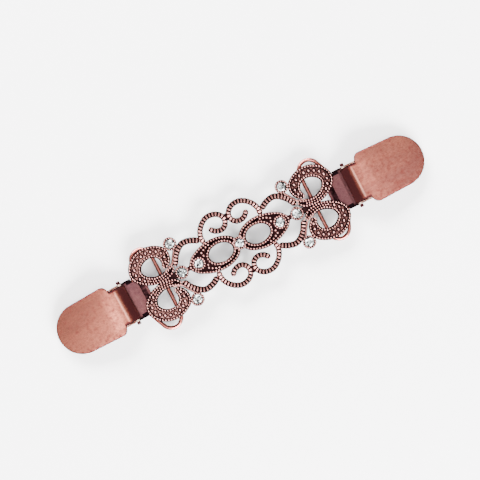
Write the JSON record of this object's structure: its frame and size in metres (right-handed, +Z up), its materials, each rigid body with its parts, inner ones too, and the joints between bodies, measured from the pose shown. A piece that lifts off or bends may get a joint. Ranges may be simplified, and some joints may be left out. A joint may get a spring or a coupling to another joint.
{
  "type": "sweater clip",
  "caption": "Copper-coloured openwork ornament with clear round stones, hung by wire rings between two lever clips that hold a cardigan closed.",
  "frame": {"origin": "under the middle of the ornament, on the table that the clip lies on, face up", "axes": "+X along the ornament towards one clip, +Y across the ornament, +Z up from the table through the ornament's face"},
  "size_m": [0.1404, 0.0319, 0.0064],
  "materials": {
    "casting": "antiqued copper plating, dark in the recesses and bright on the crests",
    "wire": "polished copper plating",
    "sheet": "antiqued copper plating, satin and mottled",
    "pin": "dark tarnished",
    "stone": "clear, cut and polished"
  },
  "bodies": {
    "ornament": {"filigree": "casting", "stone_1": "stone", "stone_2": "stone", "stone_3": "stone", "stone_4": "stone", "stone_5": "stone", "stone_6": "stone", "stone_7": "stone", "stone_8": "stone", "stone_9": "stone"},
    "left_ring": {"ring_left": "wire"},
    "right_ring": {"ring_right": "wire"},
    "left_clip": {"clip_body_left": "sheet", "hinge_pin_left": "pin"},
    "right_clip": {"clip_body_right": "sheet", "hinge_pin_right": "pin"},
    "left_lever": {"lever_left": "sheet"},
    "right_lever": {"lever_right": "sheet"}
  },
  "joints": [
    {"name": "left_ring_swing", "type": "hinge", "parent": "ornament", "child": "left_ring", "pos_m": [-0.029, -0.0009, 0.0013], "axis": [0, -1, 0], "range_deg": [0, 100]},
    {"name": "right_ring_swing", "type": "hinge", "parent": "ornament", "child": "right_ring", "pos_m": [0.029, 0.00015, 0.0013], "axis": [0, 1, 0], "range_deg": [0, 100]},
    {"name": "left_clip_turn", "type": "hinge", "parent": "left_ring", "child": "left_clip", "pos_m": [-0.0388, -0.0009, 0.0013], "axis": [0, 1, 0], "range_deg": [0, 30]},
    {"name": "right_clip_turn", "type": "hinge", "parent": "right_ring", "child": "right_clip", "pos_m": [0.0388, 0.00015, 0.0013], "axis": [0, -1, 0], "range_deg": [0, 30]},
    {"name": "left_lever_open", "type": "hinge", "parent": "left_clip", "child": "left_lever", "pos_m": [-0.0433, -0.00101, 0.0025], "axis": [-0.0244, 0.9997, 0], "range_deg": [0, 75]},
    {"name": "right_lever_open", "type": "hinge", "parent": "right_clip", "child": "right_lever", "pos_m": [0.0433, 0.00013, 0.0025], "axis": [-0.0035, -1, 0], "range_deg": [0, 75]}
  ]
}
